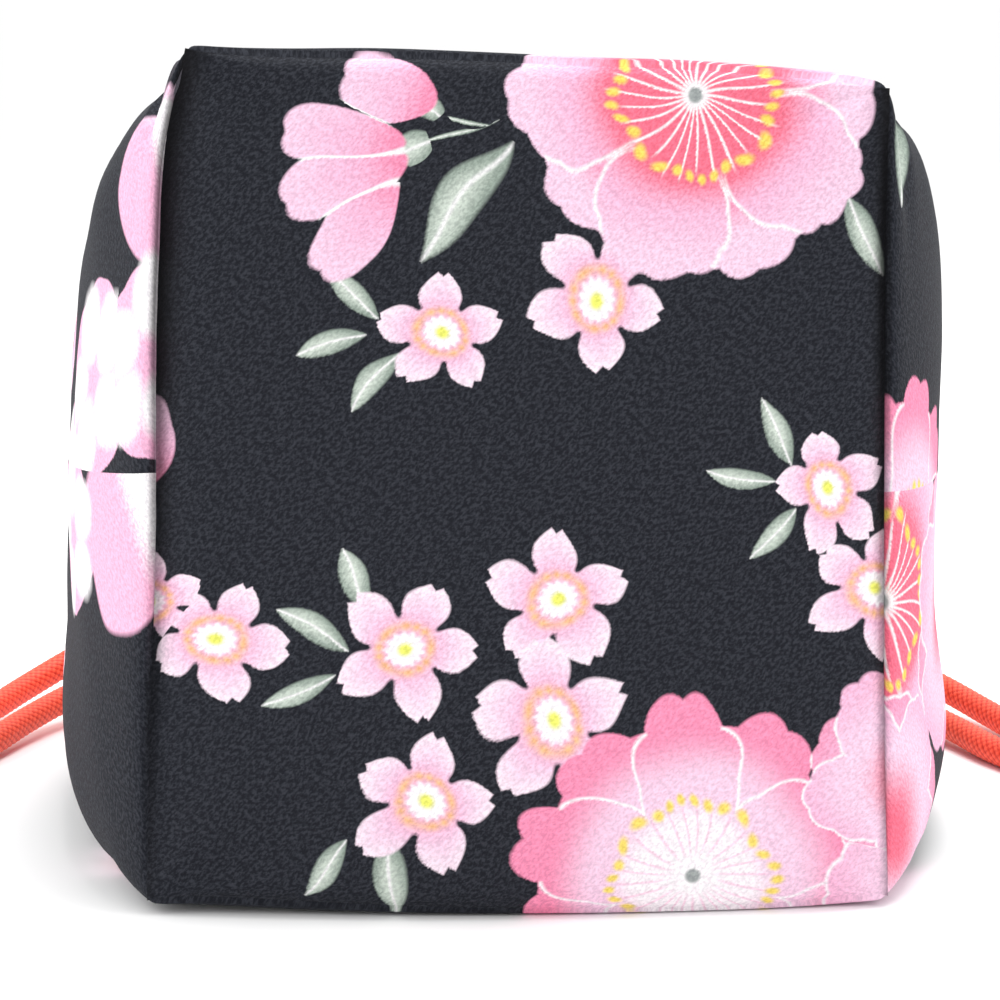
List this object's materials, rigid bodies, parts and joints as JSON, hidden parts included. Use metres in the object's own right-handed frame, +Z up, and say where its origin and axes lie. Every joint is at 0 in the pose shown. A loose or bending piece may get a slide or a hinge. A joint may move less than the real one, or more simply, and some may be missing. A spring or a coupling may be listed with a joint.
{
  "type": "kinchaku drawstring pouch",
  "caption": "Boxed-corner drawstring cloth pouch lying on its side, neck gathered on braided cords that are knotted at each side, with a frill past the casing.",
  "frame": {"origin": "on the surface the pouch lies on, under the middle of the cloth's box (cords and knots left out)", "axes": "+Z up; +Y along the pouch from its boxed base to the drawn mouth; +X to the right as the base is looked at"},
  "size_m": [0.288, 0.1561, 0.108],
  "materials": {
    "printed_crepe": null,
    "braided_cord": "round braided cord, vermilion, soft sheen"
  },
  "bodies": {
    "root": {"pouch_shell": "printed_crepe", "left_cord": "braided_cord", "left_knot": "braided_cord", "right_cord": "braided_cord", "right_knot": "braided_cord"}
  },
  "joints": []
}
